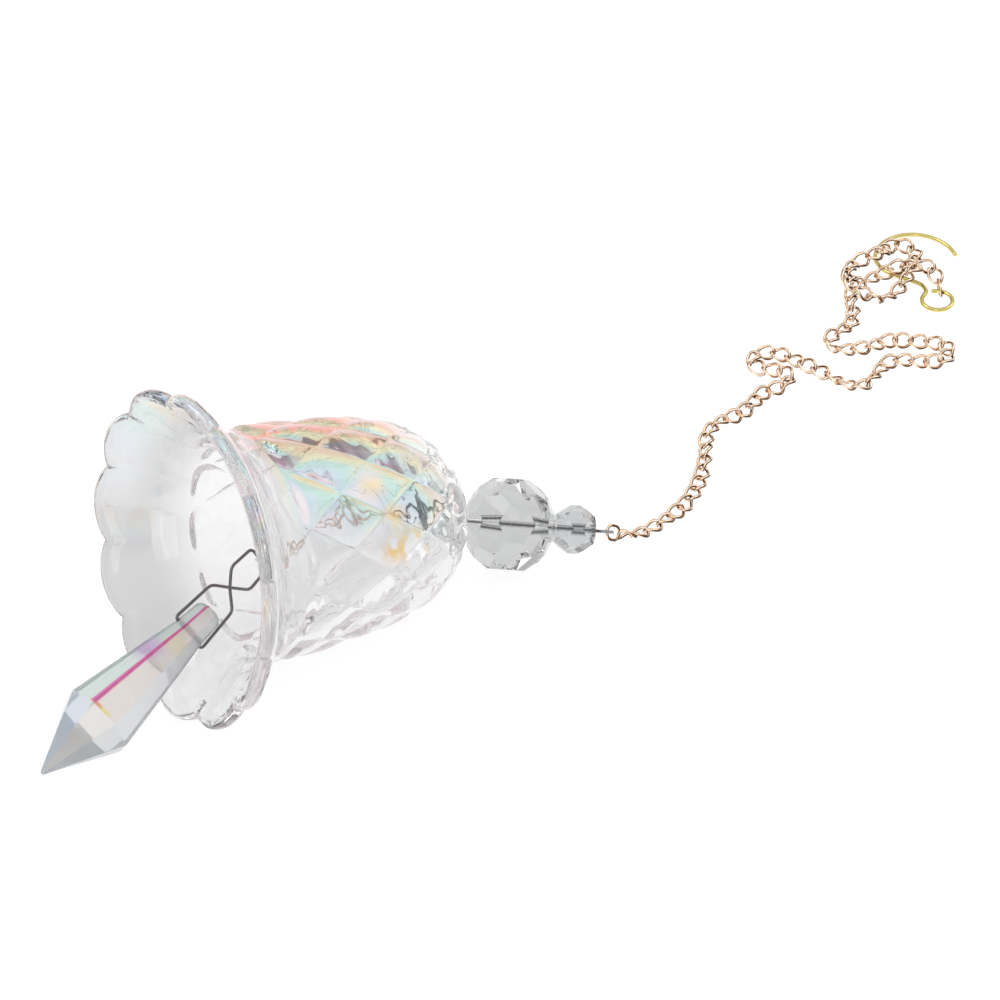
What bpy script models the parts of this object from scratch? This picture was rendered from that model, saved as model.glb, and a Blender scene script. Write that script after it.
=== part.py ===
"""Hanging crystal bell, lying on a table: glass bell, two beads on a wire, prism clapper, chain, hook.

Frame: metres, +Z up, table at z = 0, +X from the mouth towards the dome along the table.
All driving dimensions below are in millimetres.
"""
import math

import bmesh
import bpy
from mathutils import Matrix, Vector

MM = 0.001

# placement on the table
SHIFT = Vector((-27.5, 0.0, 0.0))
TILT_DEG = 15.3
MOUTH_HEIGHT = 33.24

# bell
BELL_LOBES = 12
LOBE_DEPTH = 2.0
LOBE_SETBACK = 1.3
BELL_SEGMENTS = 72
DIAMOND_DEPTH = 1.1
DIAMOND_LENGTH = 18.2
DIAMOND_PHASE = 9.4
BELL_OUTER = [
    (1.0, 32.2, 1.0), (2.2, 32.45, 1.0), (3.6, 31.6, 0.95), (5.4, 29.9, 0.8), (7.6, 27.7, 0.6),
    (10.0, 25.9, 0.35), (12.6, 24.4, 0.15), (15.2, 23.6, 0.0),
]
BELL_BODY_START = 17.4
BELL_BODY_END = 57.6
BELL_BODY_RINGS = 15
BELL_BODY = [
    (17.4, 23.2), (26.0, 22.8), (34.0, 22.2), (42.0, 21.35), (48.0, 20.2), (53.0, 18.4), (57.6, 15.9),
]
BELL_DOME = [(60.2, 13.8), (62.6, 11.0), (64.4, 7.8), (65.5, 4.6), (66.0, 1.7)]
BELL_INNER = [
    (62.0, 1.7), (61.6, 4.8), (60.3, 8.2), (57.6, 11.6), (53.0, 14.7), (46.0, 17.0), (37.0, 18.6),
    (27.0, 19.4), (18.5, 20.0), (14.0, 21.0), (10.6, 23.0), (8.4, 24.7), (5.6, 26.8), (3.2, 28.4),
    (1.4, 29.3), (0.6, 30.4),
]

# suspension wire and its loops
WIRE_R = 0.35
INNER_LOOP_R = 1.9
OUTER_LOOP_R = 1.75
HOLE_LEAN = Vector((-0.186, -0.711, -0.679))

# beads on the wire
BEAD_AXIS = Vector((0.870, -0.460, -0.180)).normalized()
LARGE_BEAD_CENTRE = Vector((73.6, -6.9, 10.2))
LARGE_BEAD_R = 9.85
LARGE_BEAD_HALF = 9.2
SMALL_BEAD_R = 4.9
SMALL_BEAD_HALF = 4.15
BEAD_GAP = 0.6
BEAD_HOLE_R = 0.75

# prism drop
PRISM_TIP = Vector((-37.6, -12.0, 5.4))
PRISM_HOLE = Vector((1.0, -1.0, 13.0))
PRISM_ROLL_DEG = -50.0
PRISM_HOLE_R = 0.8
PRISM_STATIONS = [(0.0, 0.35), (15.4, 7.6), (36.0, 4.4), (41.0, 3.5), (46.9, 3.1), (47.9, 2.4)]
PRISM_HOLE_AT = 41.5

# connector clip between prism and clapper chain
CLIP_WIRE_R = 0.4
CLIP_DIRECTION = Vector((0.962, 0.274, -0.044)).normalized()
CLIP_HALF_WIDTH = 3.6
CLIP_SHOULDER = 10.9
CLIP_WAIST = 14.0
CLIP_LENGTH = 23.4
CLIP_PIN_TIP = 0.6

# chain links
LINK_LENGTH = 4.7
LINK_WIDTH = 3.7
LINK_WIRE_R = 0.325
CLAPPER_LINKS = 11
LOOP_PLAY = 0.12

# hanging chain as a soft cord
CHAIN_D = 3.2
CHAIN_ROUTE = [
    (96.2, -17.05, 3.7), (98.9, -17.1, 2.3), (102.9, -17.0, 1.9), (108.0, -16.3, 1.9), (113.0, -15.1, 1.9),
    (117.8, -12.3, 1.9), (122.1, -8.8, 1.9), (126.3, -4.0, 1.9), (129.7, 0.2, 1.9), (134.0, 2.3, 1.9),
    (138.7, 2.1, 1.9), (143.0, 2.7, 1.9), (146.8, 4.6, 1.9), (150.3, 4.7, 1.9), (153.6, 4.2, 1.9),
    (156.2, 6.4, 1.9), (155.5, 9.3, 1.9), (152.6, 11.3, 1.9), (152.0, 14.3, 1.9), (154.8, 16.0, 1.9),
    (158.4, 14.0, 1.9), (160.6, 10.0, 1.9), (162.4, 5.9, 1.9), (164.0, 1.3, 1.9), (165.8, -3.0, 1.9),
    (169.2, -5.0, 1.9), (173.7, -3.3, 1.9), (178.0, -1.9, 1.9), (181.8, -3.5, 1.9), (185.2, -6.4, 1.9),
    (188.8, -7.7, 1.9), (191.8, -6.3, 1.9), (191.4, -3.0, 1.9), (188.8, -0.7, 1.9), (185.8, 1.8, 1.9),
    (182.0, 4.0, 1.9), (177.4, 4.6, 1.9), (173.6, 6.2, 1.9), (170.6, 8.3, 1.9), (171.2, 11.4, 1.9),
    (174.6, 12.2, 1.9), (178.4, 13.0, 1.9), (181.2, 15.6, 1.9), (183.4, 19.2, 1.9), (186.1, 22.3, 1.9),
    (190.0, 23.4, 1.9), (194.0, 22.4, 2.8), (198.2, 21.6, 3.9), (202.4, 21.6, 2.6), (205.6, 23.8, 1.9),
    (206.6, 27.4, 1.9), (204.0, 30.0, 1.9), (200.4, 28.9, 3.0), (196.6, 28.0, 3.9), (192.8, 28.9, 2.9),
    (189.2, 27.6, 3.4), (186.4, 24.6, 4.9), (184.2, 21.4, 5.9), (184.6, 18.0, 5.6), (187.4, 16.4, 3.4),
    (191.2, 15.7, 2.2), (195.0, 16.4, 2.8), (198.4, 17.8, 3.9), (201.6, 18.8, 4.3), (204.2, 18.0, 3.9),
    (204.8, 15.6, 3.2),
]
CHAIN_POINTS = 80
FIRST_LINK_DIRECTION = Vector((0.788, 0.030, -0.614)).normalized()
LAST_LINK_DIRECTION = Vector((0.42, 0.88, 0.20)).normalized()

# hook
HOOK_WIRE_R = 0.5
RING_CENTRE = Vector((200.2, 9.0, 1.95))
RING_R = 3.5
HOOK_ROUTE = [
    (200.3, 13.3), (200.8, 15.6), (199.7, 18.6), (198.2, 21.6), (197.2, 24.8), (197.6, 28.4),
    (199.6, 31.3), (202.8, 33.2), (206.4, 33.7), (209.8, 32.8), (212.6, 30.6), (214.4, 27.4),
    (215.0, 23.8), (214.4, 20.2),
]
HOOK_FALL = 0.058
LINK_ON_RING_DEG = 40.0


def material(name, colour, metallic, roughness, transmission=0.0):
    mat = bpy.data.materials.new(name)
    mat.use_nodes = True
    shader = mat.node_tree.nodes["Principled BSDF"]
    shader.inputs["Base Color"].default_value = colour
    shader.inputs["Metallic"].default_value = metallic
    shader.inputs["Roughness"].default_value = roughness
    shader.inputs["Transmission Weight"].default_value = transmission
    return mat


def clear_scene():
    for item in list(bpy.data.objects):
        bpy.data.objects.remove(item, do_unlink=True)


def interpolate(table, at):
    for (s0, r0), (s1, r1) in zip(table, table[1:]):
        if at <= s1:
            return r0 + (r1 - r0) * (at - s0) / (s1 - s0)
    return table[-1][1]


def frame_matrix(origin, z_axis, x_hint):
    z = z_axis.normalized()
    x = (x_hint - z * x_hint.dot(z)).normalized()
    y = z.cross(x)
    placed = Matrix((x, y, z)).transposed().to_4x4()
    placed.translation = (origin + SHIFT) * MM
    return placed


def add_mesh(name, mat, placed, points, faces):
    """Points are given in millimetres in the part frame; the object origin sits at placed."""
    mesh = bpy.data.meshes.new(name)
    back = placed.inverted()
    mesh.from_pydata([back @ ((p + SHIFT) * MM) for p in points], [], faces)
    shell = bmesh.new()
    shell.from_mesh(mesh)
    bmesh.ops.recalc_face_normals(shell, faces=shell.faces)
    shell.to_mesh(mesh)
    shell.free()
    mesh.materials.append(mat)
    item = bpy.data.objects.new(name, mesh)
    item.matrix_world = placed
    bpy.context.collection.objects.link(item)
    return item


def grid_faces(rings, count, closed):
    faces = []
    last = rings if closed else rings - 1
    for i in range(last):
        for j in range(count):
            a = i * count + j
            b = i * count + (j + 1) % count
            c = ((i + 1) % rings) * count + (j + 1) % count
            d = ((i + 1) % rings) * count + j
            faces.append((a, b, c, d))
    return faces


def tube_mesh(name, mat, placed, path, radius, sides, closed):
    """A round wire of one radius swept along a list of points."""
    count = len(path)
    tangents = []
    for i in range(count):
        if closed:
            step = path[(i + 1) % count] - path[i - 1]
        else:
            step = path[min(i + 1, count - 1)] - path[max(i - 1, 0)]
        tangents.append(step.normalized())
    across = tangents[0].orthogonal().normalized()
    frames = []
    for tangent in tangents:
        across = (across - tangent * across.dot(tangent)).normalized()
        frames.append((across.copy(), tangent.cross(across)))
    twist = 0.0
    if closed:
        end = (frames[-1][0] - tangents[0] * frames[-1][0].dot(tangents[0])).normalized()
        twist = math.atan2(end.dot(frames[0][1]), end.dot(frames[0][0]))
    points = []
    for i in range(count):
        for k in range(sides):
            turn = 2.0 * math.pi * k / sides - twist * i / count
            offset = frames[i][0] * math.cos(turn) + frames[i][1] * math.sin(turn)
            points.append(path[i] + offset * radius)
    faces = grid_faces(count, sides, closed)
    if not closed:
        faces.append(tuple(range(sides)))
        faces.append(tuple(range((count - 1) * sides, count * sides)))
    return add_mesh(name, mat, placed, points, faces)


def smooth_route(points, steps):
    """Catmull-Rom curve through the points."""
    padded = [points[0] * 2 - points[1]] + points + [points[-1] * 2 - points[-2]]
    out = []
    for i in range(1, len(padded) - 2):
        p0, p1, p2, p3 = padded[i - 1:i + 3]
        for k in range(steps):
            t = k / steps
            a = p1 * 2 + (p2 - p0) * t
            b = (p0 * 2 - p1 * 5 + p2 * 4 - p3) * (t * t)
            c = (p1 * 3 - p0 - p2 * 3 + p3) * (t * t * t)
            out.append((a + b + c) * 0.5)
    out.append(points[-1])
    return out


def even_points(path, count):
    lengths = [0.0]
    for a, b in zip(path, path[1:]):
        lengths.append(lengths[-1] + (b - a).length)
    out = []
    seg = 0
    for i in range(count):
        want = lengths[-1] * i / (count - 1)
        while seg < len(path) - 2 and lengths[seg + 1] < want:
            seg += 1
        span = lengths[seg + 1] - lengths[seg]
        out.append(path[seg].lerp(path[seg + 1], (want - lengths[seg]) / span))
    return out


def rounded(points, radius, steps):
    """Replace the inner corners of a polyline with small arcs."""
    out = [points[0]]
    for before, corner, after in zip(points, points[1:], points[2:]):
        a = (before - corner).normalized()
        b = (after - corner).normalized()
        reach = min(radius, 0.45 * (before - corner).length, 0.45 * (after - corner).length)
        for k in range(steps + 1):
            t = k / steps
            out.append(corner + a * reach * (1 - t) ** 2 + b * reach * t ** 2)
    out.append(points[-1])
    return out


def planes_solid(name, mat, placed, planes, to_part):
    """The convex solid inside a list of (normal, distance) planes, local millimetres."""
    corners = []
    count = len(planes)
    for i in range(count):
        for j in range(i + 1, count):
            line = planes[i][0].cross(planes[j][0])
            if line.length < 1e-6:
                continue
            for k in range(j + 1, count):
                det = line.dot(planes[k][0])
                if abs(det) < 1e-6:
                    continue
                p = (planes[j][0].cross(planes[k][0]) * planes[i][1]
                     + planes[k][0].cross(planes[i][0]) * planes[j][1]
                     + line * planes[k][1]) / det
                if all(p.dot(n) <= d + 1e-5 for n, d in planes):
                    if all((p - q).length > 1e-3 for q in corners):
                        corners.append(p)
    shell = bmesh.new()
    for p in corners:
        shell.verts.new(p)
    bmesh.ops.convex_hull(shell, input=shell.verts)
    bmesh.ops.dissolve_limit(shell, angle_limit=0.01, verts=shell.verts, edges=shell.edges)
    shell.verts.ensure_lookup_table()
    shell.verts.index_update()
    points = [to_part(v.co) for v in shell.verts]
    faces = [tuple(v.index for v in f.verts) for f in shell.faces]
    shell.free()
    return add_mesh(name, mat, placed, points, faces)


def drill(item, start, end, radius, sides):
    """Bore a straight hole between two points of the part frame, in millimetres."""
    axis = (end - start).normalized()
    side = axis.orthogonal().normalized()
    up = axis.cross(side)
    points = []
    for centre in (start, end):
        for k in range(sides):
            turn = 2.0 * math.pi * (k + 0.5) / sides
            points.append(centre + (side * math.cos(turn) + up * math.sin(turn)) * radius)
    faces = grid_faces(2, sides, False)
    faces.append(tuple(range(sides)))
    faces.append(tuple(range(sides, 2 * sides)))
    cutter = add_mesh(item.name + "_cutter", item.data.materials[0], Matrix(), points, faces)
    cutter.hide_render = True
    cutter.display_type = "WIRE"
    cut = item.modifiers.new("bore", "BOOLEAN")
    cut.operation = "DIFFERENCE"
    cut.solver = "EXACT"
    cut.object = cutter


# bell axis system
tilt = math.radians(TILT_DEG)
AXIS = Vector((math.cos(tilt), 0.0, -math.sin(tilt)))
UP = Vector((math.sin(tilt), 0.0, math.cos(tilt)))
NEAR = Vector((0.0, -1.0, 0.0))
MOUTH = Vector((0.0, 0.0, MOUTH_HEIGHT))


def on_bell(s, radius, turn):
    return MOUTH + AXIS * s + (NEAR * math.sin(turn) - UP * math.cos(turn)) * radius


def diamond(s, turn):
    across = turn * BELL_LOBES / (2.0 * math.pi)
    along = (s - DIAMOND_PHASE) / DIAMOND_LENGTH
    a = abs(math.sin(math.pi * (across + along)))
    b = abs(math.sin(math.pi * (across - along)))
    return math.sqrt(a * b)


def build_bell(mat):
    rings = []
    for s, r, lobe in BELL_OUTER:
        rings.append((s, r, lobe, 0.0))
    for i in range(BELL_BODY_RINGS):
        s = BELL_BODY_START + (BELL_BODY_END - BELL_BODY_START) * i / (BELL_BODY_RINGS - 1)
        edge = min(1.0, i / 1.5, (BELL_BODY_RINGS - 1 - i) / 1.5)
        rings.append((s, interpolate(BELL_BODY, s), 0.0, edge))
    for s, r in BELL_DOME:
        rings.append((s, r, 0.0, 0.0))
    for s, r in BELL_INNER:
        lobe = max(0.0, 1.0 - s / 9.0)
        rings.append((s, r, lobe, 0.0))
    points = []
    for s, r, lobe, relief in rings:
        for k in range(BELL_SEGMENTS):
            turn = 2.0 * math.pi * k / BELL_SEGMENTS
            wave = abs(math.sin(turn * BELL_LOBES / 2.0)) ** 0.8
            radius = r + LOBE_DEPTH * wave * lobe + DIAMOND_DEPTH * relief * diamond(s, turn)
            back = LOBE_SETBACK * (1.0 - wave) * lobe
            points.append(on_bell(s + back, radius, turn))
    placed = frame_matrix(MOUTH, AXIS, UP)
    faces = grid_faces(len(rings), BELL_SEGMENTS, True)
    return add_mesh("bell_glass", mat, placed, points, faces)


def build_bead(name, mat, centre, radius, half, rows):
    planes = [(Vector((0, 0, 1)), half), (Vector((0, 0, -1)), half)]
    for lift, count, start, reach in rows:
        for k in range(count):
            turn = 2.0 * math.pi * (k + start) / count
            flat = math.cos(math.radians(lift))
            up = math.sin(math.radians(lift))
            planes.append((Vector((flat * math.cos(turn), flat * math.sin(turn), up)), radius * reach))
            if lift > 0:
                planes.append((Vector((flat * math.cos(turn), flat * math.sin(turn), -up)), radius * reach))
    placed = frame_matrix(centre, BEAD_AXIS, Vector((0, 0, 1)))
    turn_to = placed.to_3x3()
    item = planes_solid(name, mat, placed, planes, lambda p: centre + turn_to @ p)
    reach = BEAD_AXIS * (half + 2.0)
    drill(item, centre - reach, centre + reach, BEAD_HOLE_R, 12)
    return item


def prism_axes():
    along = (PRISM_HOLE - PRISM_TIP).normalized()
    level = along.cross(Vector((0, 0, 1))).normalized()
    rise = level.cross(along)
    roll = math.radians(PRISM_ROLL_DEG)
    pin = level * math.cos(roll) + rise * math.sin(roll)
    return along, pin, along.cross(pin)


def build_prism(mat):
    along, pin, third = prism_axes()
    tip = PRISM_HOLE - along * PRISM_HOLE_AT
    points = []
    for at, flat in PRISM_STATIONS:
        corner = flat / math.cos(math.pi / 8)
        for k in range(8):
            turn = 2.0 * math.pi * (k + 0.5) / 8
            points.append(tip + along * at + (pin * math.cos(turn) + third * math.sin(turn)) * corner)
    faces = grid_faces(len(PRISM_STATIONS), 8, False)
    faces.append(tuple(range(8)))
    faces.append(tuple(range(len(points) - 8, len(points))))
    placed = frame_matrix(PRISM_HOLE, pin, along)
    item = add_mesh("prism_drop", mat, placed, points, faces)
    drill(item, PRISM_HOLE - pin * 8.0, PRISM_HOLE + pin * 8.0, PRISM_HOLE_R, 12)
    return item


def build_clip(mat):
    along, pin, third = prism_axes()
    run = (CLIP_DIRECTION - pin * CLIP_DIRECTION.dot(pin)).normalized()
    face = run.cross(pin)
    half = CLIP_HALF_WIDTH
    step = CLIP_WIRE_R + 0.15

    def at(side, forward, lift):
        return PRISM_HOLE + pin * side + run * forward + face * lift

    corners = [
        at(CLIP_PIN_TIP, 0.0, 0.0), at(half + 0.7, 0.0, 0.0), at(half, CLIP_SHOULDER, 0.0),
        at(0.0, CLIP_WAIST, step), at(-half + 0.5, 2 * CLIP_WAIST - CLIP_SHOULDER, 0.0),
        at(-half + 0.9, CLIP_LENGTH, 0.0), at(half - 0.9, CLIP_LENGTH, 0.0),
        at(half - 0.5, 2 * CLIP_WAIST - CLIP_SHOULDER, 0.0), at(0.0, CLIP_WAIST, -step),
        at(-half, CLIP_SHOULDER, 0.0), at(-half - 0.7, 0.0, 0.0), at(-CLIP_PIN_TIP, 0.0, 0.0),
    ]
    path = rounded(corners, 1.1, 3)
    bar = at(0.0, CLIP_LENGTH, 0.0)
    placed = frame_matrix(bar, pin, run)
    tube_mesh("prism_clip", mat, placed, path, CLIP_WIRE_R, 8, False)
    return bar, pin


def link_path(centre, along, across):
    """Centre line of one oval link lying in the plane of along and across."""
    bend = LINK_WIDTH / 2 - LINK_WIRE_R
    straight = (LINK_LENGTH - LINK_WIDTH) / 2
    path = []
    for end in (1, -1):
        for k in range(8):
            turn = math.pi * (k + 0.5) / 8 - math.pi / 2
            path.append(centre + along * end * (straight + bend * math.cos(turn))
                        + across * end * bend * math.sin(turn))
    return path


def build_link(name, mat, centre, along, across, joint):
    """The link's object origin sits at the joint that the whole chain swings on."""
    across = (across - along * across.dot(along)).normalized()
    placed = frame_matrix(joint, along.cross(across), along)
    return tube_mesh(name, mat, placed, link_path(centre, along, across), LINK_WIRE_R, 6, True)


def build_clapper_chain(mat, top, top_r, bottom, bottom_r, first_across, last_across, joint):
    """Links between two wires; top and bottom are the centres of the wires they hang on."""
    along = (bottom - top).normalized()
    half = LINK_LENGTH / 2 - LINK_WIRE_R
    first = top + along * (half - top_r - LINK_WIRE_R - LOOP_PLAY)
    last = bottom - along * (half - bottom_r - LINK_WIRE_R - LOOP_PLAY)
    base = (first_across - along * first_across.dot(along)).normalized()
    side = along.cross(base)
    want = (last_across - along * last_across.dot(along)).normalized()
    total = math.atan2(want.dot(side), want.dot(base))
    steps = CLAPPER_LINKS - 1
    extra = (total - steps * math.pi / 2) % math.pi
    if extra > math.pi / 2:
        extra -= math.pi
    for i in range(CLAPPER_LINKS):
        turn = i * (math.pi / 2 + extra / steps)
        across = base * math.cos(turn) + side * math.sin(turn)
        centre = first.lerp(last, i / steps)
        build_link("clapper_link_%02d" % (i + 1), mat, centre, along, across, joint)


def wire_loop(centre, shank, side, radius, start_deg, end_deg, steps):
    """Open eye: angles are measured from side towards shank."""
    out = []
    for k in range(steps + 1):
        turn = math.radians(start_deg + (end_deg - start_deg) * k / steps)
        out.append(centre + side * radius * math.cos(turn) + shank * radius * math.sin(turn))
    return out


def build_wire(mat, clip_bar):
    lean_in = MOUTH + AXIS * 62.0 - HOLE_LEAN * 0.95
    lean_out = MOUTH + AXIS * 66.0 + HOLE_LEAN * 0.95
    shank = (lean_out - lean_in).normalized()
    inner = lean_in - shank * (INNER_LOOP_R + 1.2)
    reach = (clip_bar - inner).normalized()
    normal = reach.cross(shank).normalized()
    side = shank.cross(normal).normalized()
    path = wire_loop(inner, shank, side, INNER_LOOP_R, 118.0, 432.0, 22)
    path.append(inner + shank * (INNER_LOOP_R + 1.0) + side * 0.05)
    path.append(lean_in)
    path.append(lean_in.lerp(lean_out, 0.5))
    path.append(lean_out)
    pole = LARGE_BEAD_CENTRE - BEAD_AXIS * LARGE_BEAD_HALF
    bend = smooth_route([lean_in, lean_out, pole - BEAD_AXIS * 0.2, pole + BEAD_AXIS * 4.0], 5)
    path.extend(bend[6:11])
    outer = SMALL_BEAD_CENTRE + BEAD_AXIS * (SMALL_BEAD_HALF + 0.3 + OUTER_LOOP_R + WIRE_R)
    view = Vector((0.437, 0.547, 0.713)).normalized()
    view = (view - BEAD_AXIS * view.dot(BEAD_AXIS)).normalized()
    out_side = BEAD_AXIS.cross(view).normalized()
    path.append(pole + BEAD_AXIS * 1.5)
    path.append(LARGE_BEAD_CENTRE)
    path.append(SMALL_BEAD_CENTRE)
    path.append(outer - BEAD_AXIS * (OUTER_LOOP_R + 0.95))
    eye = wire_loop(outer, BEAD_AXIS * -1.0, out_side, OUTER_LOOP_R, 72.0, -242.0, 22)
    path.extend(eye)
    placed = frame_matrix(MOUTH + AXIS * 64.0, AXIS, UP)
    tube_mesh("suspension_wire", mat, placed, path, WIRE_R, 8, False)
    return inner, normal, outer, view


def build_chain(mat, joint):
    route = [Vector(p) for p in CHAIN_ROUTE]
    path = even_points(smooth_route(route, 8), CHAIN_POINTS)
    placed = frame_matrix(joint, Vector((0, 0, 1)), Vector((1, 0, 0)))
    back = placed.inverted()
    curve = bpy.data.curves.new("chain", "CURVE")
    curve.dimensions = "3D"
    curve.bevel_depth = CHAIN_D * 0.5 * MM
    curve.bevel_resolution = 2
    curve.use_fill_caps = True
    line = curve.splines.new("POLY")
    line.points.add(CHAIN_POINTS - 1)
    for point, p in zip(line.points, path):
        local = back @ ((p + SHIFT) * MM)
        point.co = (local.x, local.y, local.z, 1.0)
    curve.materials.append(mat)
    item = bpy.data.objects.new("chain", curve)
    item.matrix_world = placed
    bpy.context.collection.objects.link(item)
    total = sum((b - a).length for a, b in zip(path, path[1:]))
    print("chain tube length mm", total)


def hook_height(y):
    return RING_CENTRE.z - HOOK_FALL * (y - RING_CENTRE.y)


def build_hook(mat):
    """Closed ring, slanting stem and wide open arc, bent from one wire."""
    ring = []
    for k in range(27):
        turn = math.radians(68.0 - (68.0 + 250.0) * k / 26)
        x = RING_CENTRE.x + RING_R * math.cos(turn)
        y = RING_CENTRE.y + RING_R * math.sin(turn)
        ring.append(Vector((x, y, hook_height(y))))
    arc = [Vector((x, y, hook_height(y))) for x, y in HOOK_ROUTE]
    arc = smooth_route([ring[-1]] + arc, 4)
    path = ring + arc[1:]
    turn = math.radians(LINK_ON_RING_DEG)
    y = RING_CENTRE.y + RING_R * math.sin(turn)
    contact = Vector((RING_CENTRE.x + RING_R * math.cos(turn), y, hook_height(y)))
    along_wire = Vector((-math.sin(turn), math.cos(turn), -HOOK_FALL * math.cos(turn))).normalized()
    placed = frame_matrix(contact, Vector((0, 0, 1)), along_wire)
    tube_mesh("hook", mat, placed, path, HOOK_WIRE_R, 8, False)
    return contact, along_wire


clear_scene()
SMALL_BEAD_CENTRE = LARGE_BEAD_CENTRE + BEAD_AXIS * (LARGE_BEAD_HALF + BEAD_GAP + SMALL_BEAD_HALF)

crystal = material("crystal_glass", (0.90, 0.93, 0.95, 1.0), 0.0, 0.03, 1.0)
bead_glass = material("bead_glass", (0.78, 0.80, 0.82, 1.0), 0.0, 0.02, 1.0)
small_glass = material("small_bead_glass", (0.74, 0.76, 0.79, 1.0), 0.0, 0.02, 1.0)
prism_glass = material("prism_glass", (0.74, 0.88, 0.92, 1.0), 0.0, 0.02, 1.0)
steel = material("wire_steel", (0.30, 0.30, 0.31, 1.0), 1.0, 0.3)
clip_steel = material("clip_steel", (0.26, 0.26, 0.26, 1.0), 1.0, 0.35)
rose_gold = material("rose_gold", (0.83, 0.58, 0.42, 1.0), 1.0, 0.28)
brass = material("hook_brass", (0.70, 0.60, 0.24, 1.0), 1.0, 0.25)

build_bell(crystal)
build_bead("large_bead", bead_glass, LARGE_BEAD_CENTRE, LARGE_BEAD_R, LARGE_BEAD_HALF,
           [(0.0, 8, 0.0, 0.965), (33.0, 8, 0.5, 0.965), (62.0, 8, 0.0, 0.968)])
build_bead("small_bead", small_glass, SMALL_BEAD_CENTRE, SMALL_BEAD_R, SMALL_BEAD_HALF,
           [(0.0, 8, 0.5, 0.965), (36.0, 8, 0.0, 0.965)])
build_prism(prism_glass)
clip_bar, clip_pin = build_clip(clip_steel)
inner, inner_normal, outer, outer_normal = build_wire(steel, clip_bar)
to_clip = (clip_bar - inner).normalized()
build_clapper_chain(rose_gold, inner + to_clip * INNER_LOOP_R, WIRE_R, clip_bar, CLIP_WIRE_R,
                    inner_normal, to_clip.cross(clip_pin), inner)
pull = (FIRST_LINK_DIRECTION - outer_normal * FIRST_LINK_DIRECTION.dot(outer_normal)).normalized()
loop_end = outer + pull * OUTER_LOOP_R
first_centre = loop_end + FIRST_LINK_DIRECTION * (
    LINK_LENGTH / 2 - 2 * LINK_WIRE_R - WIRE_R - LOOP_PLAY)
build_link("chain_first_link", rose_gold, first_centre, FIRST_LINK_DIRECTION, outer_normal, loop_end)
build_chain(rose_gold, loop_end)
contact, ring_tangent = build_hook(brass)
last_centre = contact + LAST_LINK_DIRECTION * (
    LINK_LENGTH / 2 - 2 * LINK_WIRE_R - HOOK_WIRE_R - LOOP_PLAY)
build_link("chain_last_link", rose_gold, last_centre, LAST_LINK_DIRECTION,
           LAST_LINK_DIRECTION.cross(ring_tangent), loop_end)


def show(label, point):
    p = (point + SHIFT) * MM
    print(label, round(p.x, 6), round(p.y, 6), round(p.z, 6))


show("mouth", MOUTH)
show("inner loop", inner)
print("inner normal", tuple(round(v, 5) for v in inner_normal))
show("clip bar", clip_bar)
print("clip pin axis", tuple(round(v, 5) for v in clip_pin))
show("prism hole", PRISM_HOLE)
show("large bead", LARGE_BEAD_CENTRE)
print("bead axis", tuple(round(v, 5) for v in BEAD_AXIS))
show("outer loop end", loop_end)
show("first link", first_centre)
show("hook contact", contact)
print("ring tangent", tuple(round(v, 5) for v in ring_tangent))
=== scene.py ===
"""Looks of the hanging glass bell, built around its CAD frame. Lengths below are in millimetres."""
import math

import bmesh
import bpy
from mathutils import Matrix, Vector


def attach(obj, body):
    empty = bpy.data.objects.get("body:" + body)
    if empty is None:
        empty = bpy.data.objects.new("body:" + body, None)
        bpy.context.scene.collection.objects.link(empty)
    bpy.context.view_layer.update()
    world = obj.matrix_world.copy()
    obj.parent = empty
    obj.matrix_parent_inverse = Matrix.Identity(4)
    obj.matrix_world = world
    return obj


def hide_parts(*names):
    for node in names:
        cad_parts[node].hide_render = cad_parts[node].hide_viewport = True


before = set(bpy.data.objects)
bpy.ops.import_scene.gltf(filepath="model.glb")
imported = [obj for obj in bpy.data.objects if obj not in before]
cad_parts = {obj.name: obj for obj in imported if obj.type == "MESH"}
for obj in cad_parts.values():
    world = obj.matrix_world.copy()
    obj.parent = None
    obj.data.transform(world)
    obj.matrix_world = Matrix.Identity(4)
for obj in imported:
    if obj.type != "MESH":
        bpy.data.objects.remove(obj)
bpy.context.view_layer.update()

MM = 0.001
SHIFT = Vector((-27.5, 0.0, 0.0))

# bell axis system, as in the part
TILT = math.radians(15.3)
AXIS = Vector((math.cos(TILT), 0.0, -math.sin(TILT)))
UP = Vector((math.sin(TILT), 0.0, math.cos(TILT)))
NEAR = Vector((0.0, -1.0, 0.0))
MOUTH = Vector((0.0, 0.0, 33.24))

# bell profile: distance from the mouth, radius
OUTER = [
    (0.15, 31.2), (0.55, 32.0), (1.3, 32.4), (2.3, 32.4), (3.6, 31.7), (5.4, 30.0), (7.6, 27.8),
    (10.0, 25.95), (12.6, 24.5), (15.2, 23.7), (17.4, 23.3), (21.5, 23.1), (26.0, 22.8),
    (30.0, 22.5), (34.0, 22.2), (38.0, 21.8), (42.0, 21.3), (45.0, 20.85), (48.0, 20.2),
    (50.5, 19.4), (53.0, 18.4), (55.4, 17.25), (57.6, 15.9), (60.2, 13.8), (62.6, 11.0),
    (64.4, 7.8), (65.5, 4.6), (65.95, 2.2),
]
INNER = [
    (62.1, 1.75), (61.6, 4.8), (60.3, 8.2), (57.6, 11.6), (53.0, 14.7), (46.0, 17.0), (37.0, 18.6),
    (27.0, 19.4), (18.5, 20.0), (14.0, 21.0), (10.6, 23.0), (8.4, 24.7), (5.6, 26.8), (3.2, 28.4),
    (1.4, 29.3), (0.5, 30.2),
]
AROUND = 432
LOBES = 12
LOBE_DEPTH = 2.1
LOBE_SETBACK = 1.3
LOBE_MEAN = 0.15
LOBE_POWER = 0.72
LOBE_NOTCH = 0.0004
LOBE_OUTER_END = 15.0
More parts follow.
